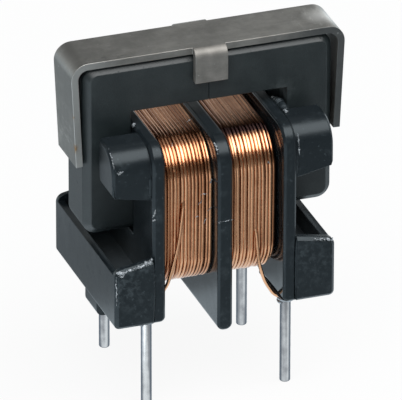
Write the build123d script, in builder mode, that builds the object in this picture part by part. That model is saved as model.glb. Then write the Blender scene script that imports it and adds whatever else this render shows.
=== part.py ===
import os

from build123d import *

# A common mode choke for a circuit board: two U-shaped ferrite halves joined into a ring,
# a moulded coil former with two winding sections on the lower bar of the ring, one coil
# of enamelled copper wire in each section, a spring steel clip and four pins.
# Millimetres. +X runs from the left coil to the right coil, +Y to the rear, +Z up.
# The origin is the centre of the pin pattern, on the face of the circuit board.

# ---- Driving dimensions -------------------------------------------------------------

# Pins
pin_pitch_x = 8.0
pin_pitch_y = 7.0
pin_diameter = 0.6
pin_below_board = 4.5
pin_in_block = 1.1
pin_fit = 0.01
solder_radius = 0.5
solder_height = 0.8

# Ferrite ring
core_length = 14.2
core_height = 9.95
core_thickness = 3.1
core_bar = 2.8
core_leg = 2.65
core_outer_round = 0.8
core_chamfer = 0.38
core_joint_gap = 0.02
core_bottom = 5.12
core_slide = 0.28

# Coil former
standoff = 1.05
partition_thickness = 0.86
partition_half_depth = 5.05
partition_top = 11.25
partition_top_round = 1.5
partition_foot_round = 0.38
section_width = 2.94
flange_thickness = 0.74
flange_half_depth = 4.95
flange_top = 11.5
flange_top_round = 1.25
flange_foot_round = 0.3
moulded_edge = 0.14
tunnel_wall = 0.45
bar_clearance = 0.15

# Base blocks under the ends of the ring
block_half_depth = 5.08
block_end = 6.3
block_rim_end = 4.55
block_rim_flange = 4.95
block_side_rim = 4.25
block_floor = 3.1
block_end_wall = 0.5
block_side_wall = 0.42
block_top_round = 0.5
block_foot_round = 0.3
block_edge = 0.2

# Feet that stand on the board
foot_inner = 4.0
foot_end = 6.05
foot_front = -1.2
foot_rear = 0.72
foot_round = 0.4

# Ears that flank the upright legs of the ring
ear_top = 11.4
ear_front = 4.7
ear_back = 2.35
ear_bottom_end = 8.85
ear_bottom_flange = 8.4
ear_round = 1.45
ear_back_round = 0.35
ear_edge = 0.14

# Coils
wire_diameter = 0.2
ridge_slope = 30
turns_per_layer = 14
short_turns = 1
coil_half_depth = 4.2
coil_half_height = 4.3
coil_corner = 1.9
coil_gap = 0.02

# Steel clip
clip_thickness = 0.4
clip_width = 2.98
clip_grip_gap = 0.05
clip_leg_reach = 6.14
clip_leg_lean = 0.29
clip_corner = 0.95
clip_seat_gap = 0.01
tab_width = 1.86
tab_drop = 1.95
tab_stand_off = 0.05
tab_bend = 0.5

# ---- Places worked out from the sizes above -----------------------------------------

partition_face = partition_thickness / 2
flange_inner = partition_face + section_width
flange_outer = flange_inner + flange_thickness
core_half_thickness = core_thickness / 2
core_top = core_bottom + core_height
bar_centre = core_bottom + core_bar / 2
tunnel_half_depth = core_half_thickness + bar_clearance
tunnel_half_height = core_bar / 2 + bar_clearance
tube_half_depth = tunnel_half_depth + tunnel_wall
tube_half_height = tunnel_half_height + tunnel_wall
pin_places = {
    "front_left_pin": (-pin_pitch_x / 2, -pin_pitch_y / 2),
    "front_right_pin": (pin_pitch_x / 2, -pin_pitch_y / 2),
    "rear_left_pin": (-pin_pitch_x / 2, pin_pitch_y / 2),
    "rear_right_pin": (pin_pitch_x / 2, pin_pitch_y / 2),
}

os.makedirs("parts", exist_ok=True)

# ---- Coil former --------------------------------------------------------------------

# The partition between the two winding sections reaches down to the board, where its
# edge is rounded.
with BuildPart() as partition:
    with BuildSketch(Plane.YZ.offset(-partition_face)) as partition_outline:
        with BuildLine():
            Polyline(
                (-partition_half_depth, 0),
                (partition_half_depth, 0),
                (partition_half_depth, partition_top),
                (-partition_half_depth, partition_top),
                close=True,
            )
        make_face()
        fillet(partition_outline.vertices().group_by(Axis.Y)[-1], radius=partition_top_round)
    extrude(amount=partition_thickness)
    foot_edges = partition.faces().sort_by(Axis.Z)[0].edges().filter_by(Axis.Y)
    fillet(foot_edges, radius=partition_foot_round)
    plate_edges = partition.faces().filter_by(Axis.X).edges()
    chamfer(plate_edges.filter_by(lambda edge: edge.center().Z > standoff), length=moulded_edge)

# An end flange is a plate with rounded shoulders; its inner foot edge is rounded too.
with BuildPart() as flange:
    with BuildSketch(Plane.YZ.offset(flange_inner)) as flange_outline:
        with BuildLine():
            Polyline(
                (-flange_half_depth, standoff),
                (flange_half_depth, standoff),
                (flange_half_depth, flange_top),
                (-flange_half_depth, flange_top),
                close=True,
            )
        make_face()
        fillet(flange_outline.vertices().group_by(Axis.Y)[-1], radius=flange_top_round)
    extrude(amount=flange_thickness)
    inner_face = flange.faces().sort_by(Axis.X)[0]
    inner_foot = inner_face.edges().sort_by(Axis.Z)[0]
    fillet(inner_foot, radius=flange_foot_round)
    shoulder_edges = flange.faces().filter_by(Axis.X).edges().filter_by(
        lambda edge: edge.center().Z > standoff + flange_foot_round
    )
    chamfer(shoulder_edges, length=moulded_edge)

# A base block is a tray with high front and rear walls and a lower side wall. Its thick
# floor holds the pins.
with BuildPart() as base_block:
    with BuildSketch(Plane.XZ.offset(-block_half_depth)) as block_outline:
        with BuildLine():
            Polyline(
                (flange_outer, standoff),
                (block_end, standoff),
                (block_end, block_rim_end),
                (flange_outer, block_rim_flange),
                close=True,
            )
        make_face()
        outer_foot = block_outline.vertices().group_by(Axis.X)[-1].sort_by(Axis.Y)[0]
        fillet(outer_foot, radius=block_foot_round)
        outer_shoulder = block_outline.vertices().group_by(Axis.X)[-1].sort_by(Axis.Y)[-1]
        fillet(outer_shoulder, radius=block_top_round)
    extrude(amount=2 * block_half_depth)
    wall_edges = base_block.faces().filter_by(Axis.Y).edges().filter_by(
        lambda edge: edge.center().X > flange_outer + block_edge
    )
    chamfer(wall_edges, length=block_edge)
    with BuildSketch(Plane.XY.offset(block_floor)):
        with Locations(((flange_outer + block_end - block_side_wall) / 2, 0)):
            Rectangle(
                block_end - block_side_wall - flange_outer,
                2 * (block_half_depth - block_end_wall),
            )
    extrude(amount=block_rim_flange, mode=Mode.SUBTRACT)
    with BuildSketch(Plane.XY.offset(block_side_rim)):
        with Locations((block_end, 0)):
            Rectangle(4 * block_side_wall, 2 * (block_half_depth - block_end_wall))
    extrude(amount=block_rim_flange, mode=Mode.SUBTRACT)

# A foot under each block, between its two pins, rounded at its outer corner.
with BuildPart() as foot:
    with BuildSketch(Plane.XZ.offset(-foot_rear)) as foot_outline:
        with BuildLine():
            Polyline(
                (foot_inner, 0),
                (foot_end, 0),
                (foot_end, standoff + block_foot_round),
                (foot_inner, standoff + block_foot_round),
                close=True,
            )
        make_face()
        outer_toe = foot_outline.vertices().group_by(Axis.X)[-1].sort_by(Axis.Y)[0]
        fillet(outer_toe, radius=foot_round)
    extrude(amount=foot_rear - foot_front)

# An ear is a D-shaped bar on the outer face of the flange. Its underside falls towards
# the flange.
with BuildPart() as front_ear:
    with BuildSketch(Plane.YZ.offset(flange_outer)) as ear_outline:
        with BuildLine():
            Polyline(
                (-ear_back, ear_top),
                (-ear_front, ear_top),
                (-ear_front, ear_bottom_flange),
                (-ear_back, ear_bottom_flange),
                close=True,
            )
        make_face()
        ear_top_corners = ear_outline.vertices().group_by(Axis.Y)[-1].sort_by(Axis.X)
        fillet(ear_top_corners[0], radius=ear_round)
    extrude(amount=block_end - flange_outer)
    with BuildSketch(Plane.XZ) as ear_underside:
        with BuildLine():
            Polyline(
                (flange_outer, ear_bottom_flange),
                (block_end, ear_bottom_end),
                (block_end, ear_bottom_flange),
                close=True,
            )
        make_face()
    extrude(amount=ear_front, mode=Mode.SUBTRACT)
    back_foot = front_ear.edges().group_by(Axis.Y)[-1].sort_by(Axis.Z)[0]
    fillet(back_foot, radius=ear_back_round)
    end_edges = front_ear.faces().sort_by(Axis.X)[-1].edges()
    chamfer(end_edges, length=ear_edge)

# The former is one moulding: plates, tunnel, blocks, feet and ears, with the opening for
# the lower bar of the ring and the pin holes cut through.
with BuildPart() as coil_former:
    add(flange.part)
    add(base_block.part)
    add(foot.part)
    add(front_ear.part)
    mirror(front_ear.part, about=Plane.XZ)
    mirror(coil_former.part, about=Plane.YZ)
    add(partition.part)
    with BuildSketch(Plane.YZ.offset(-flange_outer)):
        with Locations((0, bar_centre)):
            Rectangle(2 * tube_half_depth, 2 * tube_half_height)
    extrude(amount=2 * flange_outer)
    with BuildSketch(Plane.YZ.offset(-flange_outer)):
        with Locations((0, bar_centre)):
            Rectangle(2 * tunnel_half_depth, 2 * tunnel_half_height)
    extrude(amount=2 * flange_outer, mode=Mode.SUBTRACT)
    with BuildSketch(Plane.XY.offset(standoff)):
        with GridLocations(pin_pitch_x, pin_pitch_y, 2, 2):
            Circle(pin_diameter / 2 + pin_fit)
    extrude(amount=pin_in_block + pin_fit, mode=Mode.SUBTRACT)
coil_former.part.label = "coil_former"
export_step(coil_former.part, "parts/coil_former.step")

# ---- Ferrite halves -----------------------------------------------------------------

# Each half is a U lying on its side, ground flat where the halves meet. The ring sits
# against one side of its play in the former.
half_length = core_length / 2

with BuildPart() as u_core:
    with BuildSketch(Plane.XZ.offset(-core_half_thickness)) as u_outline:
        with BuildLine():
            Polyline(
                (core_joint_gap / 2, core_bottom),
                (half_length, core_bottom),
                (half_length, core_top),
                (core_joint_gap / 2, core_top),
                (core_joint_gap / 2, core_top - core_bar),
                (half_length - core_leg, core_top - core_bar),
                (half_length - core_leg, core_bottom + core_bar),
                (core_joint_gap / 2, core_bottom + core_bar),
                close=True,
            )
        make_face()
        fillet(u_outline.vertices().group_by(Axis.X)[-1], radius=core_outer_round)
    extrude(amount=core_thickness)
    u_faces = u_core.faces().filter_by(Axis.Y)
    away_from_joint = u_faces.edges().filter_by(
        lambda edge: edge.center().X > core_joint_gap
    )
    window_edges = away_from_joint.filter_by(
        lambda edge: edge.center().X < half_length - core_leg / 2
        and core_bottom + core_bar / 2 < edge.center().Z < core_top - core_bar / 2
    )
    outer_edges = [edge for edge in away_from_joint if edge not in window_edges]
    chamfer(outer_edges, length=core_chamfer)

with BuildPart() as core_half_right:
    with Locations((core_slide, 0, 0)):
        add(u_core.part)
core_half_right.part.label = "core_half_right"
export_step(core_half_right.part, "parts/core_half_right.step")

with BuildPart() as core_half_left:
    with Locations((core_slide, 0, 0)):
        add(u_core.part.mirror(Plane.YZ))
core_half_left.part.label = "core_half_left"
export_step(core_half_left.part, "parts/core_half_left.step")

# ---- Steel clip ---------------------------------------------------------------------

# The clip is one strip: a flat top, two legs that lean inwards until their tips grip the
# ends of the ring, and a tab bent down over the middle of each long edge.
clip_inner_top = core_top + clip_seat_gap
clip_top = clip_inner_top + clip_thickness
clip_half_length = half_length + clip_grip_gap + clip_leg_lean + clip_thickness
tab_outer = core_half_thickness + tab_stand_off + clip_thickness

with BuildPart() as steel_clip:
    with BuildSketch(Plane.XZ.offset(-clip_width / 2)):
        with BuildLine():
            strip_outside = FilletPolyline(
                (core_slide - clip_half_length + clip_leg_lean, clip_top - clip_leg_reach),
                (core_slide - clip_half_length, clip_top),
                (core_slide + clip_half_length, clip_top),
                (core_slide + clip_half_length - clip_leg_lean, clip_top - clip_leg_reach),
                radius=clip_corner,
            )
            offset(strip_outside, amount=clip_thickness, side=Side.RIGHT)
        make_face()
    extrude(amount=clip_width)
    with BuildSketch(Plane.YZ.offset(core_slide - tab_width / 2)):
        with BuildLine():
            tabs_outside = FilletPolyline(
                (-tab_outer, clip_top - tab_drop),
                (-tab_outer, clip_top),
                (tab_outer, clip_top),
                (tab_outer, clip_top - tab_drop),
                radius=tab_bend,
            )
            offset(tabs_outside, amount=clip_thickness, side=Side.RIGHT)
        make_face()
    extrude(amount=tab_width)
steel_clip.part.label = "steel_clip"
export_step(steel_clip.part, "parts/steel_clip.step")

# ---- Coils --------------------------------------------------------------------------

# One turn of the outer layer: a rounded rectangular ring, as wide as the wire, whose rim
# slopes to both sides so that stacked turns show their ridges.
with BuildPart() as outer_turn:
    with BuildSketch(Plane.YZ):
        with Locations((0, bar_centre)):
            RectangleRounded(2 * coil_half_depth, 2 * coil_half_height, coil_corner)
    extrude(amount=wire_diameter / 2, both=True, taper=ridge_slope)

# The last turn at the right end of each section lies one layer lower.
with BuildPart() as lower_turn:
    with BuildSketch(Plane.YZ):
        with Locations((0, bar_centre)):
            RectangleRounded(
                2 * (coil_half_depth - wire_diameter),
                2 * (coil_half_height - wire_diameter),
                coil_corner - wire_diameter,
            )
    extrude(amount=wire_diameter / 2, both=True, taper=ridge_slope)

coil_width = turns_per_layer * wire_diameter
coil_centre_x = partition_face + section_width / 2
coil_centres = {"winding_left": -coil_centre_x, "winding_right": coil_centre_x}

# The front lead of each coil runs down the inner face of its flange and under the
# flange's foot to the front pin; the rear lead is its mirror image.
lead_x = coil_centre_x + coil_width / 2 - wire_diameter / 2
lead_foot_z = standoff - 1.5 * wire_diameter
lead_end_x = pin_pitch_x / 2 - solder_radius * 0.6
lead_end_y = -pin_pitch_y / 2 + solder_radius * 0.7

with BuildPart() as front_lead:
    with BuildLine():
        lead_route = Polyline(
            (lead_x, -coil_half_depth / 2, bar_centre - coil_half_height + 2 * wire_diameter),
            (lead_x, -coil_half_depth / 2 - wire_diameter, lead_foot_z),
            (lead_end_x, lead_end_y, lead_foot_z - wire_diameter),
        )
    with BuildSketch(Plane(lead_route @ 0, z_dir=lead_route % 0)):
        Circle(wire_diameter / 2)
    sweep(transition=Transition.RIGHT)

for coil_name, centre_x in coil_centres.items():
    first_turn = centre_x - coil_width / 2 + wire_diameter / 2
    with BuildPart() as coil:
        for turn in range(turns_per_layer):
            is_short = turn >= turns_per_layer - short_turns
            with Locations((first_turn + turn * wire_diameter, 0, 0)):
                add(lower_turn.part if is_short else outer_turn.part)
        with BuildSketch(Plane.YZ.offset(centre_x - coil_width)):
            with Locations((0, bar_centre)):
                Rectangle(2 * (tube_half_depth + coil_gap), 2 * (tube_half_height + coil_gap))
        extrude(amount=2 * coil_width, mode=Mode.SUBTRACT)
        lead = front_lead.part if centre_x > 0 else front_lead.part.mirror(Plane.YZ)
        add(lead)
        add(lead.mirror(Plane.XZ))
    coil.part.label = coil_name
    export_step(coil.part, f"parts/{coil_name}.step")

# ---- Pins ---------------------------------------------------------------------------

# A tinned wire pin, moulded into the block, with a cone of solder at its root where the
# coil's lead is joined to it.
pin_radius = pin_diameter / 2

with BuildPart() as pin:
    with BuildSketch(Plane.XZ):
        with BuildLine():
            Polyline(
                (0, -pin_below_board),
                (pin_radius, -pin_below_board),
                (pin_radius, standoff - solder_height),
                (solder_radius, standoff),
                (pin_radius, standoff),
                (pin_radius, standoff + pin_in_block),
                (0, standoff + pin_in_block),
                close=True,
            )
        make_face()
    revolve(axis=Axis.Z)

for pin_name, (pin_x, pin_y) in pin_places.items():
    with BuildPart() as placed_pin:
        with Locations((pin_x, pin_y, 0)):
            add(pin.part)
    placed_pin.part.label = pin_name
    export_step(placed_pin.part, f"parts/{pin_name}.step")
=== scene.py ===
"""A common mode choke for a circuit board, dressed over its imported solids.

Metres, in the frame of the solids: the pins go down, the coils face the front (-Y), and
the origin is the middle of the pin pattern on the board.
"""

import math

import bmesh
import bpy
import numpy as np
from mathutils import Euler, Matrix, Vector


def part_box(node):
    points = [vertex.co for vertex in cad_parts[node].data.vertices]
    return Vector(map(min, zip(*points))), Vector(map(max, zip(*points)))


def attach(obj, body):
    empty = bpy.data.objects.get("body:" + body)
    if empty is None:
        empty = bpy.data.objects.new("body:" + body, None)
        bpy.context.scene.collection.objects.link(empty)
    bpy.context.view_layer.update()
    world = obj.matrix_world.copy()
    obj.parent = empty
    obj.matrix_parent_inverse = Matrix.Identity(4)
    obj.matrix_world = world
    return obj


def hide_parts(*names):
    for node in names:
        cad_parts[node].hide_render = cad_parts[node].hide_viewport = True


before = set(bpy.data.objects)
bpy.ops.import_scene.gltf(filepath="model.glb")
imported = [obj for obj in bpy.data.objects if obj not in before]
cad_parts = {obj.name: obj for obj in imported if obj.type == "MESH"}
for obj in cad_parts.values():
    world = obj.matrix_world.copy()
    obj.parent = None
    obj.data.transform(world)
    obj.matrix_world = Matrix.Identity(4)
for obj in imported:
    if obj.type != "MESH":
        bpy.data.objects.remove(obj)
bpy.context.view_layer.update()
scene = bpy.context.scene
mm = 0.001

# ---- Coil former --------------------------------------------------------------------
# One moulding in black thermoplastic: two winding sections on a square tube, a base
# block with a tray under each end of the ring, feet, and ears that flank the ring. It
# leaves the mould glossy, with small radii on its edges, and picks up dust and varnish.

former_edge_round = 0.04 * mm
former_black = (0.0066, 0.0094, 0.0116, 1)
former_dusted = (0.025, 0.033, 0.038, 1)
# Paler in the trays: partly dust, partly painted fill light where the trays lie in shade.
tray_dust_and_fill_light = (0.075, 0.088, 0.096, 1)
former_tint = (0.84, 0.95, 1.0, 1)
# Where dried film dulls the moulding: the middle in millimetres, its reach, its strength.
film_spots = (
    ((-6.0, -5.1, 3.9), 2.0, 1.3),
    ((-5.0, -5.1, 2.2), 2.0, 0.5),
    ((-4.6, -5.0, 4.7), 0.8, 1.2),
    ((-4.0, -5.0, 7.6), 0.7, 1.0),
    ((5.4, -5.1, 3.2), 2.2, 0.7),
    ((4.2, -4.9, 4.2), 1.6, 0.5),
    ((-5.9, -4.6, 10.6), 0.9, 0.5),
    ((3.4, -3.6, 2.2), 1.5, 0.5),
    ((4.3, -1.4, 11.5), 1.4, 1.0),
)
tray_dust_and_fill_spots = (((-5.2, -1.2, 3.0), 4.4, 1.0), ((5.2, -1.2, 3.0), 4.4, 1.0))
# Faces of the former in millimetres, sideways from the middle, and the trays' front wall.
partition_face = 0.43
flange_inside = 3.40
tray_inside = 4.10
tray_outside = 6.10
tray_front = -4.8


class Tone:
    """One socket of a finish's nodes. Arithmetic adds Math nodes; add() any other node."""

    def __init__(self, tree, socket=None):
        self.tree = tree
        self.socket = socket

    def add(self, kind, settings=None, inputs=None, output=0):
        """Adds a node: its settings are set first, then its sockets' values or links."""
        node = self.tree.nodes.new(kind)
        for name, value in (settings or {}).items():
            setattr(node, name, value)
        for key, value in (inputs or {}).items():
            if isinstance(value, Tone):
                self.tree.links.new(value.socket, node.inputs[key])
            else:
                node.inputs[key].default_value = value
        return Tone(self.tree, None if output is None else node.outputs[output])

    def maths(self, operation, first, second=0.0):
        """A Math node on two values, either of which may be a plain number."""
        return self.add("ShaderNodeMath", {"operation": operation}, {0: first, 1: second})

    def __add__(self, other):
        return self.maths("ADD", self, other)

    def __radd__(self, other):
        return self.maths("ADD", other, self)

    def __sub__(self, other):
        return self.maths("SUBTRACT", self, other)

    def __rsub__(self, other):
        return self.maths("SUBTRACT", other, self)

    def __mul__(self, other):
        return self.maths("MULTIPLY", self, other)

    def __rmul__(self, other):
        return self.maths("MULTIPLY", other, self)


def noise(coords, scale, detail=3.0, rough=0.55, stretch=(1, 1, 1)):
    """Cloudy noise from 0 to 1 with that many features to a metre, drawn out by stretch."""
    place = coords.add("ShaderNodeMapping", inputs={"Vector": coords, "Scale": stretch})
    return coords.add(
        "ShaderNodeTexNoise",
        inputs={"Vector": place, "Scale": scale, "Detail": detail, "Roughness": rough},
    )


def rise(value, low, high):
    """0 at low, 1 at high, a smooth step between them and flat beyond; low may be the
    larger of the two."""
    return value.add(
        "ShaderNodeMapRange",
        {"interpolation_type": "SMOOTHSTEP"},
        {"Value": value, "From Min": low, "From Max": high},
    )


def blend(share, colour, other):
    """colour where share is 0, other where it is 1."""
    return share.add(
        "ShaderNodeMix", {"data_type": "RGBA"}, {0: share, 6: colour, 7: other}, output=2
    )


def start_finish(name):
    """A new material with no nodes, and its object coordinates."""
    material = bpy.data.materials.new(name)
    material.use_nodes = True
    material.node_tree.nodes.clear()
    coords = Tone(material.node_tree).add("ShaderNodeTexCoord", output="Object")
    return material, coords


def close_finish(coords, sockets):
    """Ends a finish with its shader, whose sockets take these values or links."""
    shader = coords.add("ShaderNodeBsdfPrincipled", inputs=sockets)
    coords.add("ShaderNodeOutputMaterial", inputs={"Surface": shader}, output=None)


def relief(height, depth, under=None):
    """A bump of that depth in metres from a height of 0 to 1."""
    sockets = {"Height": height, "Distance": depth, "Strength": 1.0}
    if under is not None:
        sockets["Normal"] = under
    return height.add("ShaderNodeBump", inputs=sockets)


def spots(coords, places):
    """The sum of soft spots, each given by its middle and reach in millimetres and its
    strength: full in the middle and nothing beyond the reach."""
    total = 0.0
    for middle, reach, strength in places:
        apart = coords.add(
            "ShaderNodeVectorMath",
            {"operation": "DISTANCE"},
            {0: coords, 1: tuple(value * mm for value in middle)},
            output="Value",
        )
        total = total + rise(apart, reach * mm, 0.0) * strength
    return total


def along_axis(coords, letter):
    """How far along X, Y or Z a point lies, in millimetres."""
    part = coords.add("ShaderNodeSeparateXYZ", inputs={"Vector": coords}, output=letter)
    return part * (1 / mm)


def eased_copy(node, name, edge_round, finish):
    """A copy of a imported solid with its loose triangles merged, its flat faces joined and
    its edges rounded; it stands for the solid."""
    work = bmesh.new()
    work.from_mesh(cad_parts[node].data)
    bmesh.ops.remove_doubles(work, verts=work.verts, dist=1e-7)
    bmesh.ops.dissolve_limit(work, angle_limit=0.01, verts=work.verts, edges=work.edges)
    for face in work.faces:
        face.smooth = True
    mesh = bpy.data.meshes.new(name)
    work.to_mesh(mesh)
    work.free()
    if "custom_normal" in mesh.attributes:
        mesh.attributes.remove(mesh.attributes["custom_normal"])
    mesh.materials.clear()
    mesh.materials.append(finish)
    piece = bpy.data.objects.new(name, mesh)
    scene.collection.objects.link(piece)
    bevel = piece.modifiers.new("edge_round", "BEVEL")
    bevel.width = edge_round
    bevel.segments = 3
    bevel.limit_method = "ANGLE"
    bevel.angle_limit = math.radians(30)
    bevel.use_clamp_overlap = False
    bevel.loop_slide = False
    bevel.harden_normals = True
    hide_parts(node)
    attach(piece, "root")


former_finish, here = start_finish("black_moulding")
sink = noise(here, 420, 2.0)
grain = noise(here, 9000, 2.0)
haze = rise(noise(here, 1300, 5.0, 0.7), 0.52, 0.74)
flecks = rise(noise(here, 5200, 2.0, 0.5), 0.66, 0.72)
film = rise(noise(here, 3400, 6.0, 0.75), 0.44, 0.66)
filmed = film * spots(here, film_spots)
dusted = blend(haze * 0.45 + flecks * 0.70 + filmed, former_black, former_dusted)
sideways = here.maths("ABSOLUTE", along_axis(here, "X"))
in_trays = rise(sideways, tray_inside - 0.02, tray_inside + 0.02)
in_trays = in_trays * rise(sideways, tray_outside + 0.06, tray_outside - 0.10)
in_trays = in_trays * rise(along_axis(here, "Y"), tray_front - 0.1, tray_front + 0.1)
# Partly settled dust, partly painted fill light in the shaded trays.
settled_dust_and_fill = in_trays * spots(here, tray_dust_and_fill_spots) * (0.5 + haze * 0.5)
# The walls of the winding sections are polished, so the coils mirror in them.
polished = rise(sideways, partition_face - 0.03, partition_face)
polished = polished * rise(sideways, flange_inside + 0.05, flange_inside)
close_finish(
    here,
    {
        "Base Color": blend(settled_dust_and_fill, dusted, tray_dust_and_fill_light),
        "Roughness": 0.26 + haze * 0.14 + grain * 0.05 + filmed * 0.2 - polished * 0.18,
        "Specular IOR Level": 0.34,
        "Specular Tint": former_tint,
        "Normal": relief(grain, 0.0003 * mm, relief(sink, 0.034 * mm)),
    },
)
eased_copy("coil_former", "moulded_former", former_edge_round, former_finish)

# ---- Pins ---------------------------------------------------------------------------
# Four tinned wire pins, moulded into the base blocks and cut off square. The end of a
# coil's lead is wrapped round each root and dipped in solder, which climbs in a cone.

pin_low, pin_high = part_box("front_right_pin")
pin_reach = (pin_low.z, pin_high.z)
pin_radius = 0.3 * mm
pin_tip_round = 0.09 * mm
pin_tip_flat = 0.35 * pin_radius
pin_sides = 28
pin_waves = 0.0015 * mm
solder_height = 0.62 * mm
solder_radius = 0.43 * mm
solder_skin = 0.01 * mm
solder_buried = 0.9 * pin_radius
solder_flare = 2.2
solder_waves = 0.018 * mm
solder_seed = 20
board_standoff = 1.05 * mm
pin_silver = (0.80, 0.75, 0.72, 1)
pin_worn = (0.36, 0.34, 0.34, 1)
pin_side_painted_shade = (0.07, 0.085, 0.11, 1)
solder_bright = (0.50, 0.51, 0.53, 1)
solder_frosted = (0.30, 0.30, 0.30, 1)


def ringed_solid(rings, closed=False):
    """A skin over a stack of rings (stack x around x 3): quads between neighbouring
    rings, and a fan over the first and last ring, or quads from last to first if closed.
    Returns the points and two lists of faces, turned so that the volume is positive."""
    stack, around, _ = rings.shape
    corner = np.arange(stack * around).reshape(stack, around)
    lower = corner if closed else corner[:-1]
    upper = np.roll(corner, -1, 0) if closed else corner[1:]
    quads = np.stack([lower, np.roll(lower, -1, 1), np.roll(upper, -1, 1), upper], -1)
    quads = quads.reshape(-1, 4)
    points = rings.reshape(-1, 3)
    fans = np.zeros((0, 3), int)
    if not closed:
        first, last = len(points), len(points) + 1
        points = np.concatenate([points, rings[:1].mean(1), rings[-1:].mean(1)])
        low_fan = [np.full(around, first), np.roll(corner[0], -1), corner[0]]
        high_fan = [np.full(around, last), corner[-1], np.roll(corner[-1], -1)]
        fans = np.concatenate([np.stack(low_fan, -1), np.stack(high_fan, -1)])
    sides = np.concatenate([quads[:, :3], quads[:, [0, 2, 3]], fans])
    a, b, c = (points[sides[:, k]] for k in range(3))
    if np.einsum("ij,ij->", a, np.cross(b, c)) < 0:
        quads = quads[:, ::-1]
        fans = fans[:, ::-1]
    return points, quads, fans


def make_piece(name, solids, finish, stands_for=(), strand=None):
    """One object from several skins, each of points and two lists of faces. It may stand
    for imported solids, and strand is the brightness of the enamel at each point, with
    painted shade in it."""
    points = np.concatenate([solid[0] for solid in solids])
    starts = np.cumsum([0] + [len(solid[0]) for solid in solids[:-1]])
    faces = []
    for start, (_, quads, fans) in zip(starts, solids):
        faces += (quads + start).tolist() + (fans + start).tolist()
    mesh = bpy.data.meshes.new(name)
    mesh.from_pydata(points.tolist(), [], faces)
    mesh.shade_smooth()
    if strand is not None:
        mesh.attributes.new("strand", "FLOAT", "POINT").data.foreach_set("value", strand)
    mesh.materials.append(finish)
    piece = bpy.data.objects.new(name, mesh)
    scene.collection.objects.link(piece)
    if stands_for:
        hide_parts(*stands_for)
    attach(piece, "root")


def turned(profile, sides, lumps, seed):
    """A profile of (radius, height) pairs turned about Z; lumps is the depth of slow
    waves round and along it, the same for one seed."""
    radius, height = np.array(profile, float).T
    angle = np.linspace(0, 2 * np.pi, sides, endpoint=False)
    chance = np.random.default_rng(seed)
    phase = chance.uniform(0, 2 * np.pi, 4)
    wave = np.sin(2 * angle + phase[0] + 9000 * height[:, None])
    wave = wave + np.sin(3 * angle + phase[1] - 15000 * height[:, None])
    wave = wave + np.sin(angle + phase[2]) + 0.5 * np.sin(5 * angle + phase[3])
    reach = radius[:, None] + lumps * wave * (radius[:, None] > 1e-6)
    x = reach * np.cos(angle)
    y = reach * np.sin(angle)
    z = np.broadcast_to(height[:, None], x.shape)
    return np.stack([x, y, z], -1)


pin_finish, here = start_finish("tinned_pin")
drawn = noise(here, 3200, 2.0, 0.5, (1, 1, 0.05))
cloud = noise(here, 1500, 3.0)
scuff = rise(noise(here, 4200, 3.0, 0.6, (1, 1, 0.35)), 0.60, 0.72)
turned_away = here.add("ShaderNodeLayerWeight", inputs={"Blend": 0.5}, output="Facing")
tin = blend(rise(drawn * 0.8 + cloud * 0.3, 0.44, 0.66), pin_silver, pin_worn)
close_finish(
    here,
    {
        # The sides turned away from the camera are painted dark: a painted reflection of the shaded table
        # under the choke.
        "Base Color": blend(rise(turned_away, 0.16, 0.50) * 0.92, tin, pin_side_painted_shade),
        "Metallic": 1.0,
        "Roughness": 0.20 + drawn * 0.14 + scuff * 0.10,
        "Normal": relief(drawn, 0.004 * mm),
    },
)

solder_finish, here = start_finish("solder")
frost = noise(here, 3800, 4.0, 0.65)
close_finish(
    here,
    {
        "Base Color": blend(rise(frost, 0.4, 0.75), solder_bright, solder_frosted),
        "Metallic": 1.0,
        "Roughness": 0.26 + frost * 0.25,
        "Normal": relief(frost, 0.012 * mm),
    },
)

# The pin's profile: a small flat, a quarter round, and the shaft. The solder's radius
# grows with a power of the height, from the pin's own to its widest at the block.
tip_turn = np.linspace(0, np.pi / 2, 6)
tip_radii = pin_radius - pin_tip_round * (1 - np.sin(tip_turn))
tip_heights = pin_reach[0] + pin_tip_round * (1 - np.cos(tip_turn))
shaft_heights = np.linspace(pin_reach[0] + pin_tip_round, pin_reach[1], 26)
pin_profile = [(pin_tip_flat, pin_reach[0])]
pin_profile += list(zip(tip_radii, tip_heights))
pin_profile += [(pin_radius, z) for z in shaft_heights[1:]]
climb = np.linspace(0, 1, 14)
cone_radii = pin_radius + solder_skin + (solder_radius - pin_radius) * climb**solder_flare
cone_heights = board_standoff - solder_height * (1 - climb)
solder_profile = [(solder_buried, board_standoff - solder_height)]
solder_profile += list(zip(cone_radii, cone_heights))
for number, node in enumerate(
    ("front_left_pin", "front_right_pin", "rear_left_pin", "rear_right_pin")
):
    low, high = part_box(node)
    middle = np.array([(low.x + high.x) / 2, (low.y + high.y) / 2, 0])
    shaft = ringed_solid(turned(pin_profile, pin_sides, pin_waves, number) + middle)
    shaft_name = node.replace("pin", "tinned_pin")
    make_piece(shaft_name, [shaft], pin_finish, (node,))
    cone = turned(solder_profile, pin_sides, solder_waves, solder_seed + number) + middle
    make_piece(node.replace("pin", "solder"), [ringed_solid(cone)], solder_finish)

# ---- Coils --------------------------------------------------------------------------
# Enamelled copper wire, machine-wound in layers, turn beside turn. The outer layer ends
# at the back before the section is full, so the layer under it shows at its right. The
# leads go down past the flanges and are wrapped and soldered at the roots of the pins.

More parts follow.
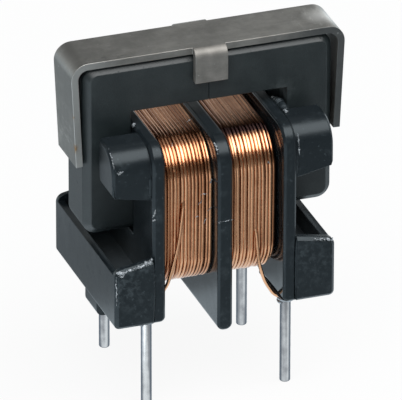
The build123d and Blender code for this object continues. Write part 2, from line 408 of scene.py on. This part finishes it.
wire = 0.2 * mm
wire_lift = 0.40
wire_flatness = 0.62
coil_depth = 4.1 * mm
coil_height = 4.26 * mm
coil_corner = 2.2 * mm
coil_middle_z = 6.58 * mm
tube_depth = 2.17 * mm
tube_height = 2.02 * mm
tube_corner = 0.1 * mm
inner_turns = 14
left_outer_turns = 13.6
right_outer_turns = 11.6
lower_turns = 3
lower_turns_from_end = 3.2
layer_drop = 0.175 * mm
section_middle = 1.90 * mm
samples_per_turn = 96
wire_sides = 10
wander_out = 0.010 * mm
wander_across = 0.014 * mm
wander_shade = 0.28
# The first turns beside the flange are painted darker: painted shade.
first_turns_painted_shade = 0.55
painted_shade_reach = 1.9
lower_turns_painted_shade = 0.3
bed_sink = 1.3 * wire
bed_bulge = 0.45 * wire
bed_samples = 88
bed_rows = 8
steps_per_row = 4
wrap_turns = 2.6
lead_shade = 0.75
bed_shade = 0.1
enamel_bright = (0.88, 0.45, 0.24, 1)
enamel_deep = (0.50, 0.205, 0.09, 1)
enamel_residue_and_shade = (0.10, 0.05, 0.045, 1)


def loop_at(travel, depth, height, corner):
    """A rounded rectangle in the YZ plane, walked at an even pace from the middle of its
    underside: down to the front, up, over and down the back. travel counts the turns.
    Returns y, z and the angle of the outward normal."""
    quarter = np.linspace(0, np.pi / 2, 10)
    stations = [(0.0, -height, -np.pi / 2)]
    for number, (side, level) in enumerate(((-1, -1), (-1, 1), (1, 1), (1, -1))):
        angle = -np.pi / 2 * (1 + number) - quarter
        y = side * (depth - corner) + corner * np.cos(angle)
        z = level * (height - corner) + corner * np.sin(angle)
        stations += list(zip(y, z, angle))
    stations.append((0.0, -height, -2.5 * np.pi))
    y, z, angle = np.array(stations).T
    walked = np.concatenate([[0], np.cumsum(np.hypot(np.diff(y), np.diff(z)))])
    pace = (travel % 1.0) * walked[-1]
    y, z, angle = (np.interp(pace, walked, known) for known in (y, z, angle))
    return y, z + coil_middle_z, angle


def wander(count, step, amount, chance):
    """A smooth random walk about 0: random values every step, joined by cosine easing."""
    knots = chance.normal(0, amount, count // step + 2)
    place = np.arange(count) / step
    low = place.astype(int)
    share = (1 - np.cos((place - low) * np.pi)) / 2
    return knots[low] * (1 - share) + knots[low + 1] * share


def wound_layer(first_x, turns, sink, chance):
    """Wire carried along the loop, one pitch to a turn, with a small wander outwards and
    sideways. At each step of the walk its section lies in the plane of the outward normal
    and X. Varnish fills the valleys between turns, so the section is an oval as wide as
    the wire, but flatter. Returns the solid and a shade for each point, which wanders too
    and is darker on the first turns: painted shade where the flange shades them."""
    count = int(turns * samples_per_turn) + 1
    travel = np.arange(count) / samples_per_turn
    depth, height = coil_depth - sink, coil_height - sink
    y, z, angle = loop_at(travel, depth, height, coil_corner - sink)
    out = wander(count, 20, wander_out, chance)
    x = first_x + travel * wire + wander(count, 17, wander_across, chance)
    turn = np.linspace(0, 2 * np.pi, wire_sides, endpoint=False)
    reach = out[:, None] + wire / 2 * (wire_lift + wire_flatness * np.cos(turn))
    rings = np.stack(
        [
            x[:, None] + wire / 2 * np.sin(turn) * np.ones_like(reach),
            y[:, None] + reach * np.cos(angle)[:, None],
            z[:, None] + reach * np.sin(angle)[:, None],
        ],
        -1,
    )
    # Painted shade on the first turns, where the flange shades them.
    flange_shade = first_turns_painted_shade * np.exp(-((travel / painted_shade_reach) ** 2))
    shade = wander(count, 48, wander_shade, chance) + 0.5 - flange_shade
    shade = np.repeat(shade, wire_sides)
    return ringed_solid(rings), np.concatenate([shade, [0.5, 0.5]])


def flowing(stations, count):
    """A smooth line through a few points: a cubic between each pair, whose slopes at a
    point follow its two neighbours."""
    points = np.array(stations, float)
    before = np.vstack([2 * points[0] - points[1], points[:-1]])
    after = np.vstack([points[1:], 2 * points[-1] - points[-2]])
    slope = (after - before) / 2
    place = np.linspace(0, len(points) - 1 - 1e-9, count)
    low = place.astype(int)
    t = (place - low)[:, None]
    start, end = points[low], points[low + 1]
    start_slope, end_slope = slope[low], slope[low + 1]
    line = (2 * t**3 - 3 * t**2 + 1) * start + (t**3 - 2 * t**2 + t) * start_slope
    return line + (3 * t**2 - 2 * t**3) * end + (t**3 - t**2) * end_slope


def tube_along(line, radius, sides=wire_sides, across=(1, 0, 0)):
    """A circle of that radius carried along a line, square to it; across is a direction
    that the line never follows. radius is one number or one for each point."""
    along = np.gradient(line, axis=0)
    along /= np.linalg.norm(along, axis=1)[:, None]
    side = np.cross(along, np.array(across, float))
    side /= np.linalg.norm(side, axis=1)[:, None]
    up = np.cross(side, along)
    turn = np.linspace(0, 2 * np.pi, sides, endpoint=False)
    spread = np.broadcast_to(radius, (len(line),))[:, None, None]
    cosine, sine = np.cos(turn)[None, :, None], np.sin(turn)[None, :, None]
    ring = cosine * side[:, None] + sine * up[:, None]
    return line[:, None] + spread * ring


enamel_finish, here = start_finish("enamelled_copper")
strand = here.add("ShaderNodeAttribute", {"attribute_name": "strand"}, output="Fac")
mottle = noise(here, 2300, 3.0)
pool = noise(here, 330, 3.0, 0.5, (1.4, 1, 1))
residue = rise(noise(here, 3600, 4.0, 0.65), 0.60, 0.72)
depth = along_axis(here, "Y")
height = along_axis(here, "Z")
right = rise(along_axis(here, "X"), -0.4, 0.4)
# The enamel is browner on the top and in a band where the turns bend over to the front,
# more on the right coil: partly varnish residue, partly painted shade for a dark reflection.
bend = rise(depth, -2.1, -2.6) * rise(depth, -3.1, -2.7) * rise(height, 7.0, 9.0)
residue_and_shade = bend * (0.30 + right * 0.6) + rise(height, 10.2, 10.7) * (0.10 + right * 0.2)
# The right coil's enamel is painted lighter than the left's: painted shade on the left coil.
copper = blend(
    rise(strand * 0.5 + mottle * 0.35 + pool * 0.7 + right * 0.14, 0.53, 1.1),
    enamel_deep,
    enamel_bright,
)
close_finish(
    here,
    {
        "Base Color": blend(residue_and_shade, copper, enamel_residue_and_shade),
        "Metallic": 1.0,
        "Roughness": 0.19 + residue * 0.22 + mottle * 0.06,
        "Coat Weight": 0.5 - bend * 0.3,
        "Coat Roughness": 0.12,
        "Coat IOR": 1.5,
        "Normal": relief(mottle, 0.006 * mm),
    },
)

for name, node, side, seed, outer_turns in (
    ("left", "winding_left", -1, 11, left_outer_turns),
    ("right", "winding_right", 1, 23, right_outer_turns),
):
    chance = np.random.default_rng(seed)
    start_x = side * section_middle - inner_turns * wire / 2
    outer = wound_layer(start_x + wire / 2, outer_turns, 0.0, chance)
    lower_start = start_x + (inner_turns - lower_turns_from_end) * wire
    lower = wound_layer(lower_start, lower_turns, layer_drop, chance)
    # The lower layer is painted darker: painted shade in the gap beside the flange.
    make_piece(
        f"{name}_outer_turns",
        [outer[0], lower[0]],
        enamel_finish,
        (node,),
        np.concatenate([outer[1], lower[1] - lower_turns_painted_shade]),
    )
    # The inner layers, seen at the ends of the section: a closed skin between the loop
    # and the tube, whose end faces bulge like the size of a sine, once for each layer.
    levels = np.linspace(0, 1, bed_rows * steps_per_row + 1)
    bulge = bed_bulge * (np.abs(np.sin(levels * bed_rows * np.pi)) - 0.9)
    around = np.arange(bed_samples) / bed_samples
    walk = loop_at(around, coil_depth - bed_sink, coil_height - bed_sink, coil_corner - wire)
    hole = loop_at(around, tube_depth, tube_height, tube_corner)
    share = np.concatenate([levels, levels[::-1]])
    y = walk[0][:, None] * (1 - share) + hole[0][:, None] * share
    z = walk[1][:, None] * (1 - share) + hole[1][:, None] * share
    x = np.concatenate([start_x - bulge, start_x + inner_turns * wire + bulge[::-1]])
    bed = ringed_solid(np.stack([x * np.ones_like(y), y, z], -1), closed=True)
    make_piece(
        f"{name}_inner_layers",
        [bed],
        enamel_finish,
        strand=np.full(len(bed[0]), bed_shade),
    )

# A lead comes out between two turns on the front of each coil, crosses the turns below
# and goes to the front pin. The routes are in millimetres.
left_crossing = [
    (-2.03, -3.86, 8.70),
    (-2.09, -4.06, 7.95),
    (-2.16, -4.23, 7.30),
    (-2.27, -4.30, 6.55),
    (-2.43, -4.30, 5.38),
    (-2.68, -4.30, 4.30),
    (-2.91, -4.27, 3.42),
    (-3.02, -4.16, 2.92),
    (-3.12, -3.98, 2.55),
    (-3.20, -3.76, 2.15),
    (-3.24, -3.62, 1.50),
    (-3.45, -3.60, 0.95),
    (-3.72, -3.60, 0.82),
]
right_crossing = [
    (2.02, -3.86, 6.30),
    (2.04, -4.08, 5.50),
    (2.07, -4.25, 4.80),
    (2.14, -4.30, 3.75),
    (2.22, -4.27, 3.25),
    (2.38, -4.20, 2.72),
    (2.60, -4.10, 2.12),
    (2.90, -3.98, 1.58),
    (3.16, -3.86, 1.18),
    (3.44, -3.76, 0.92),
    (3.74, -3.66, 0.80),
]
# The other lead comes down at the rear, the same on both sides.
rear_right = [
    (3.20, 2.50, 2.70),
    (3.22, 2.90, 1.90),
    (3.30, 3.20, 1.20),
    (3.50, 3.40, 0.90),
    (3.70, 3.45, 0.82),
]
rear_left = [(-x, y, z) for x, y, z in rear_right]
wrap_turn = np.linspace(0, wrap_turns * 2 * np.pi, 80)
wrap_radius = pin_radius + wire * 0.42
for name, route, pin_node in (
    ("left_front", left_crossing, "front_left_pin"),
    ("right_front", right_crossing, "front_right_pin"),
    ("left_rear", rear_left, "rear_left_pin"),
    ("right_rear", rear_right, "rear_right_pin"),
):
    low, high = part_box(pin_node)
    lead = tube_along(flowing(np.array(route) * mm, 90), wire / 2)
    wrap = np.stack(
        [
            (low.x + high.x) / 2 + wrap_radius * np.cos(wrap_turn),
            (low.y + high.y) / 2 + wrap_radius * np.sin(wrap_turn),
            board_standoff - wire * 0.6 - wrap_turn / (2 * np.pi) * wire,
        ],
        -1,
    )
    wrapped = ringed_solid(tube_along(wrap, wire / 2 * 0.95, across=(0, 0, 1)))
    lead_solid = ringed_solid(lead)
    make_piece(
        f"{name}_lead",
        [lead_solid],
        enamel_finish,
        strand=np.full(len(lead_solid[0]), lead_shade),
    )
    make_piece(f"{name}_wrap", [wrapped], solder_finish)

# ---- Ferrite ring -------------------------------------------------------------------
# Two pressed and sintered ferrite halves, each a U, ground where they meet and held by
# the clip. Grey-black, with bevelled edges, a slightly rough skin and a few pits.

ferrite_edge_round = 0.05 * mm
ferrite_dark = (0.0046, 0.0084, 0.0098, 1)
ferrite_pale = (0.0125, 0.0185, 0.020, 1)
ferrite_dust_and_fill = (0.13, 0.15, 0.155, 1)
# Pale dust in the window of the ring beside the right flange, partly painted light where
# the window lies in shade: the middle in millimetres, its reach, its strength.
window_dust_and_fill_spots = (((4.45, -0.4, 11.9), 1.7, 1.0), ((4.45, 0.6, 10.4), 1.6, 1.0))

ferrite_finish, here = start_finish("sintered_ferrite")
grit = noise(here, 14000, 3.0, 0.6)
patch = noise(here, 700, 4.0, 0.6)
pits = rise(noise(here, 6500, 2.0), 0.66, 0.74)
window_dust_and_fill = spots(here, window_dust_and_fill_spots) * rise(noise(here, 1900, 5.0, 0.7), 0.36, 0.66)
skin = blend(rise(patch * 0.7 + grit * 0.5, 0.35, 0.85), ferrite_dark, ferrite_pale)
close_finish(
    here,
    {
        "Base Color": blend(window_dust_and_fill, skin, ferrite_dust_and_fill),
        "Roughness": 0.36 + patch * 0.12 + pits * 0.2,
        "Specular IOR Level": 0.58,
        "Normal": relief(1 - pits, 0.006 * mm, relief(grit, 0.004 * mm)),
    },
)
eased_copy("core_half_left", "left_ferrite", ferrite_edge_round, ferrite_finish)
eased_copy("core_half_right", "right_ferrite", ferrite_edge_round, ferrite_finish)

# ---- Steel clip ---------------------------------------------------------------------
# A stamped strip of spring steel, bent over the ring to hold its halves together. Its
# faces are rolled and dull, with stains, grime and a little rust; its right corner is
# rubbed, with a painted highlight on it. The cut edges are painted brighter on the left
# leg and darker on the right one: painted light and shade.

clip_edge_round = 0.035 * mm
steel_face = (0.33, 0.317, 0.295, 1)
steel_dull = (0.20, 0.193, 0.179, 1)
steel_stain = (0.30, 0.22, 0.10, 1)
steel_rubbed_highlight = (0.66, 0.65, 0.62, 1)
steel_worn_highlight = (0.80, 0.79, 0.77, 1)
steel_cut_painted_light = (0.62, 0.62, 0.6, 1)
steel_cut_painted_shade = (0.08, 0.09, 0.095, 1)
steel_shaded = (0.10, 0.098, 0.09, 1)
steel_rust = (0.30, 0.15, 0.03, 1)
steel_grime = (0.08, 0.078, 0.072, 1)
varnish_speck = (0.6, 0.6, 0.58, 1)
clip_front = -1.49
# Marks on the strip: the middle in millimetres, its reach, its strength.
# The rubbed spots on the right corner and the left leg, and the worn spot, carry a painted highlight.
rubbed_and_highlight_spots = (((7.0, 0, 15.2), 2.2, 1.0), ((-7.7, 0, 11.0), 2.6, 0.6))
worn_highlight_spots = (((7.3, 0, 15.1), 1.4, 0.9),)
rust_spots = (
    ((-7.42, -1.5, 10.5), 0.42, 1.0),
    ((-7.55, -1.5, 12.4), 0.3, 1.0),
    ((-7.86, -1.2, 12.3), 0.5, 0.7),
)
grime_spots = (
    ((-5.6, -1.1, 15.5), 0.45, 1.0),
    ((-4.6, -1.15, 15.5), 0.55, 1.0),
    ((-6.6, -1.0, 15.5), 0.4, 1.0),
    ((2.2, 0.6, 15.5), 0.5, 0.4),
)

clip_finish, here = start_finish("rolled_steel")
rolled = noise(here, 2600, 4.0, 0.6, (0.12, 1, 1))
cloud = noise(here, 380, 4.0, 0.6)
spangle = noise(here, 1500, 5.0, 0.75)
stain = rise(noise(here, 900, 5.0, 0.7), 0.66, 0.78)
specks = rise(noise(here, 4300, 2.0), 0.72, 0.78)
across = along_axis(here, "X")
front = along_axis(here, "Y")
height = along_axis(here, "Z")
# across * 0.009 paints the faces lighter towards the right: a painted light gradient.
tone = cloud * 0.45 + rolled * 0.2 + spangle * 0.35 + across * 0.009
steel = blend(rise(tone, 0.36, 0.68), steel_dull, steel_face)
steel = blend(stain * 0.5, steel, steel_stain)
# Wear with a painted highlight on the rubbed right corner and left leg, and on the worn corner.
rubbed_and_highlight = spots(here, rubbed_and_highlight_spots) * rise(noise(here, 2100, 5.0, 0.7, (1, 0.35, 1)), 0.50, 0.66)
steel = blend(rubbed_and_highlight * 0.7, steel, steel_rubbed_highlight)
steel = blend(spots(here, worn_highlight_spots), steel, steel_worn_highlight)
# The cut edges are the strip's front faces; the front tab stands out beyond them.
cut = rise(front, clip_front + 0.03, clip_front + 0.01)
cut = cut * rise(front, clip_front - 0.04, clip_front - 0.02)
# Painted light and shade: the cut edges are lighter on the left leg and darker on the right.
steel = blend(cut * rise(across, 3.0, 7.2) * 0.75, steel, steel_cut_painted_shade)
steel = blend(cut * rise(across, -4.0, -7.2) * 0.45, steel, steel_cut_painted_light)
shaded = rise(across, -7.2, -7.6) * rise(height, 9.4, 10.8) * (1.0 - cut)
steel = blend(shaded * 0.38, steel, steel_shaded)
rust = spots(here, rust_spots) * rise(noise(here, 5200, 3.0), 0.40, 0.56)
steel = blend(rust, steel, steel_rust)
smeared = rise(noise(here, 3800, 5.0, 0.75, (0.5, 1, 1)), 0.46, 0.60)
steel = blend(spots(here, grime_spots) * smeared * 0.6, steel, steel_grime)
tab = rise(front, clip_front - 0.03, clip_front - 0.07)
close_finish(
    here,
    {
        "Base Color": blend(specks * 0.4, steel, varnish_speck),
        "Metallic": 0.9 - stain * 0.3,
        "Roughness": 0.28 + rolled * 0.12 + cloud * 0.12 + rubbed_and_highlight * 0.2 + tab * 0.2,
        "Normal": relief(rolled, 0.006 * mm, relief(cloud, 0.02 * mm)),
    },
)
eased_copy("steel_clip", "spring_clip", clip_edge_round, clip_finish)

# ---- Varnish ------------------------------------------------------------------------
# The finished choke is dipped in varnish. It dries milky where it is thick: in runs and
# beads along the rims of the trays and the edges of the ears, and as bits on the coils.
# The milky beads on the edges of the left ear, the partition and the right flange are
# painted highlights.
# Where it is thin it is clear, and only fills the joints.

varnish_clear = (0.04, 0.05, 0.056, 1)
varnish_milky = (0.36, 0.39, 0.42, 1)
run_samples = 90
bit_samples = 40
run_sides = 12
run_wander = 0.02 * mm
bit_lumps = 0.8
fillet_lumps = 0.12

varnish_finish, here = start_finish("dried_varnish")
milk = noise(here, 2600, 4.0, 0.65)
close_finish(
    here,
    {
        "Base Color": blend(rise(milk, 0.3, 0.7), varnish_clear, varnish_milky),
        "Roughness": 0.16 + milk * 0.2,
        "Coat Weight": 0.6,
        "Coat Roughness": 0.08,
        "Normal": relief(milk, 0.03 * mm),
    },
)


def varnish_run(stations, radius, chance, lumpy=1.0, count=run_samples):
    """A bead along a line through a few points in millimetres. Its radius follows a power
    of half a sine wave, so that it thins to nothing at both ends, times random lumps
    along it and round it; lumpy is 0 for an even bead."""
    line = flowing(np.array(stations) * mm, count)
    steps = [wander(count, 5, run_wander * lumpy, chance) for _ in range(3)]
    line = line + np.stack(steps, -1)
    ends = np.sin(np.linspace(0.02, np.pi - 0.02, count)) ** 0.4
    lumps = 1 + np.clip(wander(count, 4, 0.55 * lumpy, chance), -0.75, 1.6)
    rings = tube_along(line, radius * ends * lumps, run_sides, (0.13, 0.21, 0.97))
    swell = wander(count * run_sides, 3, 1.0, chance).reshape(-1, run_sides, 1)
    return line[:, None] + (rings - line[:, None]) * (1 + 0.16 * lumpy * swell)


# Each row holds the route of a bead and its radius, both in millimetres.
chance = np.random.default_rng(5)
runs = [
    ([(-6.16, -4.98, 4.50), (-5.98, -5.02, 4.52), (-5.78, -5.03, 4.46), (-5.60, -5.02, 4.55)], 0.085),
    ([(-6.10, -5.04, 4.34), (-5.92, -5.06, 4.30), (-5.80, -5.06, 4.38)], 0.045),
    ([(-5.55, -5.01, 4.58), (-5.10, -5.00, 4.66), (-4.62, -5.01, 4.74)], 0.055),
    ([(-4.66, -5.00, 4.76), (-4.35, -4.99, 4.86), (-4.16, -4.92, 5.04)], 0.075),
    ([(-6.24, -5.02, 4.30), (-6.24, -5.05, 3.9), (-6.23, -5.06, 3.3), (-6.22, -5.06, 2.6)], 0.022),
    ([(5.60, -5.01, 4.60), (5.90, -5.02, 4.54), (6.14, -4.96, 4.42), (6.20, -4.80, 4.44)], 0.04),
    ([(5.0, -5.01, 4.68), (5.4, -5.02, 4.62), (5.7, -5.01, 4.60)], 0.03),
    ([(-5.98, -4.64, 10.44), (-5.84, -4.69, 10.38), (-5.70, -4.66, 10.42)], 0.016),
    # This bead on the left ear's end edge and the next on the partition's edge are milky to stand in for
    # glints: painted highlights.
    ([(-6.16, -3.62, 11.34), (-6.18, -4.18, 11.06), (-6.17, -4.56, 10.56)], 0.026),
    ([(-0.40, -4.22, 11.10), (-0.38, -4.50, 10.93), (-0.35, -4.78, 10.62)], 0.040),
    ([(-4.12, -1.80, 11.50), (-4.02, -1.62, 11.52)], 0.05),
    ([(-4.12, -1.50, 6.90), (-4.13, -1.50, 6.40), (-4.12, -1.50, 5.85)], 0.012),
    ([(-6.04, -4.68, 10.38), (-5.96, -4.71, 10.30), (-5.84, -4.70, 10.34)], 0.035),
    # These two beads at the right flange's edge stand in for a line of glints: painted highlights.
    ([(4.16, -4.78, 11.10), (4.22, -4.84, 10.75), (4.24, -4.86, 10.4)], 0.022),
    ([(4.24, -4.86, 10.30), (4.25, -4.87, 10.1), (4.25, -4.88, 9.85)], 0.020),
    ([(4.14, -2.62, 11.47), (4.22, -2.72, 11.48), (4.32, -2.80, 11.44)], 0.045),
    ([(-4.12, -4.95, 7.55), (-4.02, -4.97, 7.75), (-3.94, -4.96, 7.98)], 0.028),
    ([(-4.10, -4.96, 7.30), (-3.98, -4.98, 7.40)], 0.022),
    ([(-0.42, -5.03, 6.62), (0.0, -5.06, 6.66), (0.42, -5.03, 6.70)], 0.014),
]
make_piece(
    "varnish_runs_and_glints",
    [ringed_solid(varnish_run(route, radius * mm, chance)) for route, radius in runs],
    varnish_finish,
)

bits = [
    ([(-0.86, -1.20, 10.86), (-0.66, -1.02, 10.92), (-0.42, -0.80, 10.90), (-0.20, -0.62, 10.87)], 0.022),
    ([(-1.15, -4.21, 8.02), (-0.98, -4.22, 8.08), (-0.72, -4.22, 8.02)], 0.018),
    ([(-1.30, -4.21, 7.45), (-1.16, -4.22, 7.55), (-1.10, -4.22, 7.72)], 0.016),
    ([(-0.62, -4.22, 8.62), (-0.55, -4.22, 8.78), (-0.50, -4.22, 8.86)], 0.030),
    ([(-0.78, -4.22, 7.00), (-0.62, -4.22, 7.08), (-0.55, -4.22, 7.22)], 0.018),
    ([(-1.42, -4.21, 6.72), (-1.30, -4.22, 6.80)], 0.020),
    ([(-0.95, -4.21, 6.25), (-0.90, -4.22, 6.45), (-0.80, -4.22, 6.55)], 0.016),
    ([(1.05, -3.70, 10.02), (1.12, -3.58, 10.12), (1.16, -3.44, 10.22)], 0.018),
    ([(-2.42, -3.30, 10.42), (-2.36, -3.05, 10.60), (-2.30, -2.90, 10.70)], 0.016),
    ([(2.74, -4.10, 9.35), (2.80, -4.12, 9.20)], 0.025),
]
make_piece(
    "varnish_bits",
    [
        ringed_solid(varnish_run(route, radius * mm, chance, bit_lumps, bit_samples))
        for route, radius in bits
    ],
    varnish_finish,
)

# Clear varnish in the joints looks as black as the moulding under it.
fillets = [
    ([(-4.12, -4.93, 4.80), (-4.11, -4.94, 3.8), (-4.11, -4.94, 2.6), (-4.11, -4.92, 1.10)], 0.13),
    ([(4.12, -4.93, 4.80), (4.11, -4.94, 3.8), (4.11, -4.94, 2.6), (4.11, -4.92, 1.10)], 0.11),
    ([(3.42, -1.90, 1.12), (3.38, -2.8, 1.10), (3.38, -3.8, 1.12), (3.42, -4.80, 1.14)], 0.09),
    ([(3.52, -4.15, 1.04), (3.72, -3.98, 0.98), (3.90, -3.88, 0.98)], 0.11),
    ([(0.28, -1.535, 12.2), (0.28, -1.535, 13.2), (0.28, -1.535, 14.5), (0.28, -1.3, 14.95)], 0.03),
    ([(-4.14, -4.5, 8.50), (-4.14, -4.64, 8.8), (-4.14, -4.62, 9.8), (-4.14, -4.2, 10.95)], 0.14),
    ([(4.14, -4.5, 8.50), (4.14, -4.64, 8.8), (4.14, -4.62, 9.8), (4.14, -4.2, 10.95)], 0.12),
    ([(4.22, -0.55, 11.26), (4.32, -1.25, 11.28), (4.40, -1.80, 11.26), (4.46, -2.38, 11.18)], 0.28),
]
make_piece(
    "varnish_fillets",
    [
        ringed_solid(varnish_run(route, radius * mm, chance, fillet_lumps))
        for route, radius in fillets
    ],
    former_finish,
)

# ---- Table, lamps and camera --------------------------------------------------------
# A pale table on which the pins stand, a pale room, and two soft lamps above the front,
# one wide and low in power. What shines in the black faces is the table and the room, so
# both look even to the camera but have brighter and darker zones in reflections.

table_size = 1.2
white = (1, 1, 1, 1)
table_paper = (0.75, 0.75, 0.75, 1)
table_faint = (0.045, 0.045, 0.045, 1)
table_glow = 0.915
table_glow_through = 0.93
mirror_tint = (0.80, 0.92, 1.0, 1)
room_tint = (0.90, 0.95, 0.96, 1)
room_glow = 0.97
room_light = 0.55
choke_middle = Vector((0, 0, 0.006))
lens_length = 838
sensor_width = 36
lens_shift = (0.0059, -0.0128)
camera_distance = 507.67 * mm
camera_aim = Vector((0.24, 0.0, 5.772)) * mm
azimuth = math.radians(-19.57)
elevation = math.radians(26.98)
roll = math.radians(0.093)

table_mesh = bpy.data.meshes.new("table")
corners = [(-table_size, -table_size), (table_size, -table_size)]
corners += [(table_size, table_size), (-table_size, table_size)]
table_mesh.from_pydata([(x, y, pin_reach[0]) for x, y in corners], [], [(0, 1, 2, 3)])
table = bpy.data.objects.new("table", table_mesh)
scene.collection.objects.link(table)

table_finish, here = start_finish("pale_table")
camera_rays = here.add("ShaderNodeLightPath", output="Is Camera Ray")
mirror_rays = here.add("ShaderNodeLightPath", output="Is Glossy Ray")
through_rays = here.add("ShaderNodeLightPath", output="Is Transmission Ray")
depth = along_axis(here, "Y")
across = along_axis(here, "X")
# The zones that the faces of the choke mirror: at its left, with a dark gap next to it,
# at its right, beneath it and far behind it.
behind = rise(depth, -2.0, 8.0)
beneath = rise(depth, -14.5, -11.5) * rise(depth, 9.0, 6.0)
strip = rise(across, -8.0, -10.0) * rise(across, -21.0, -16.0)
left = (strip * 0.9 + rise(across, -22.0, -30.0) * 0.85) * (1.0 - behind)
right = rise(across, 10.0, 21.0)
mirrored = 0.38 + left - right * 0.21 + beneath * 0.54
mirrored = mirrored + rise(depth, 14.0, 22.0) * 0.14 + rise(depth, 50.0, 75.0) * 0.90
glow = camera_rays * table_glow + mirror_rays * mirrored + through_rays * table_glow_through
tint = blend(camera_rays, mirror_tint, white)
paper = here.add("ShaderNodeBsdfDiffuse", inputs={"Color": table_paper})
faint = here.add("ShaderNodeBsdfDiffuse", inputs={"Color": table_faint})
shining = here.add("ShaderNodeEmission", inputs={"Color": tint, "Strength": glow})
seen = here.add("ShaderNodeAddShader", inputs={0: shining, 1: faint})
shown = here.maths("MINIMUM", camera_rays + mirror_rays + through_rays, 1.0)
surface = here.add("ShaderNodeMixShader", inputs={0: shown, 1: paper, 2: seen})
here.add("ShaderNodeOutputMaterial", inputs={"Surface": surface}, output=None)
table_mesh.materials.append(table_finish)
table_finish.cycles.emission_sampling = "NONE"

room = bpy.data.worlds.new("room")
scene.world = room
room.use_nodes = True
room.cycles.sampling_method = "NONE"
room.node_tree.nodes.clear()
room_tone = Tone(room.node_tree)
direction = room_tone.add("ShaderNodeTexCoord", output="Generated")
up = direction.add("ShaderNodeSeparateXYZ", inputs={"Vector": direction}, output="Z")
back = direction.add("ShaderNodeSeparateXYZ", inputs={"Vector": direction}, output="Y")
camera_rays = direction.add("ShaderNodeLightPath", output="Is Camera Ray")
mirror_rays = direction.add("ShaderNodeLightPath", output="Is Glossy Ray")
through_rays = direction.add("ShaderNodeLightPath", output="Is Transmission Ray")
# In reflections the room is brightest low down and at the back.
sweep = 1.4 - rise(up, 0.05, 0.32) * 0.98 - rise(up, 0.46, 0.66) * 0.37
surround = sweep * (0.18 + 0.82 * rise(back, -0.35, 0.25))
seen_rays = direction.maths("MINIMUM", camera_rays + mirror_rays + through_rays, 1.0)
strength = camera_rays * room_glow + (mirror_rays + through_rays) * surround
strength = strength + (1.0 - seen_rays) * room_light
sky_tint = blend(camera_rays, room_tint, white)
sky = direction.add("ShaderNodeBackground", inputs={"Color": sky_tint, "Strength": strength})
direction.add("ShaderNodeOutputWorld", inputs={"Surface": sky}, output=None)


def soft_lamp(name, towards, distance, size, power):
    """An elliptical lamp of that width and height, in that direction from the choke."""
    data = bpy.data.lights.new(name, "AREA")
    data.shape = "ELLIPSE"
    data.size = size[0]
    data.size_y = size[1]
    data.energy = power
    lamp = bpy.data.objects.new(name, data)
    scene.collection.objects.link(lamp)
    toward = Vector(towards).normalized()
    lamp.location = toward * distance + choke_middle
    lamp.rotation_euler = toward.to_track_quat("Z", "Y").to_euler()


soft_lamp("key_lamp", (0.08, -0.40, 0.91), distance=0.5, size=(1.10, 0.42), power=4.4)
soft_lamp("wide_lamp", (0.08, -0.30, 0.95), distance=0.6, size=(0.95, 0.80), power=0.9)

camera_data = bpy.data.cameras.new("camera")
camera_data.lens = lens_length
camera_data.sensor_width = sensor_width
camera_data.shift_x, camera_data.shift_y = lens_shift
camera_data.clip_start = 0.01
camera = bpy.data.objects.new("camera", camera_data)
scene.collection.objects.link(camera)
away = Vector(
    (
        math.sin(azimuth) * math.cos(elevation),
        -math.cos(azimuth) * math.cos(elevation),
        math.sin(elevation),
    )
)
turn = Euler((math.pi / 2 - elevation, 0, azimuth)).to_matrix() @ Matrix.Rotation(roll, 3, "Z")
camera.matrix_world = Matrix.Translation(camera_aim + away * camera_distance) @ turn.to_4x4()
scene.camera = camera
scene.view_settings.view_transform = "Standard"
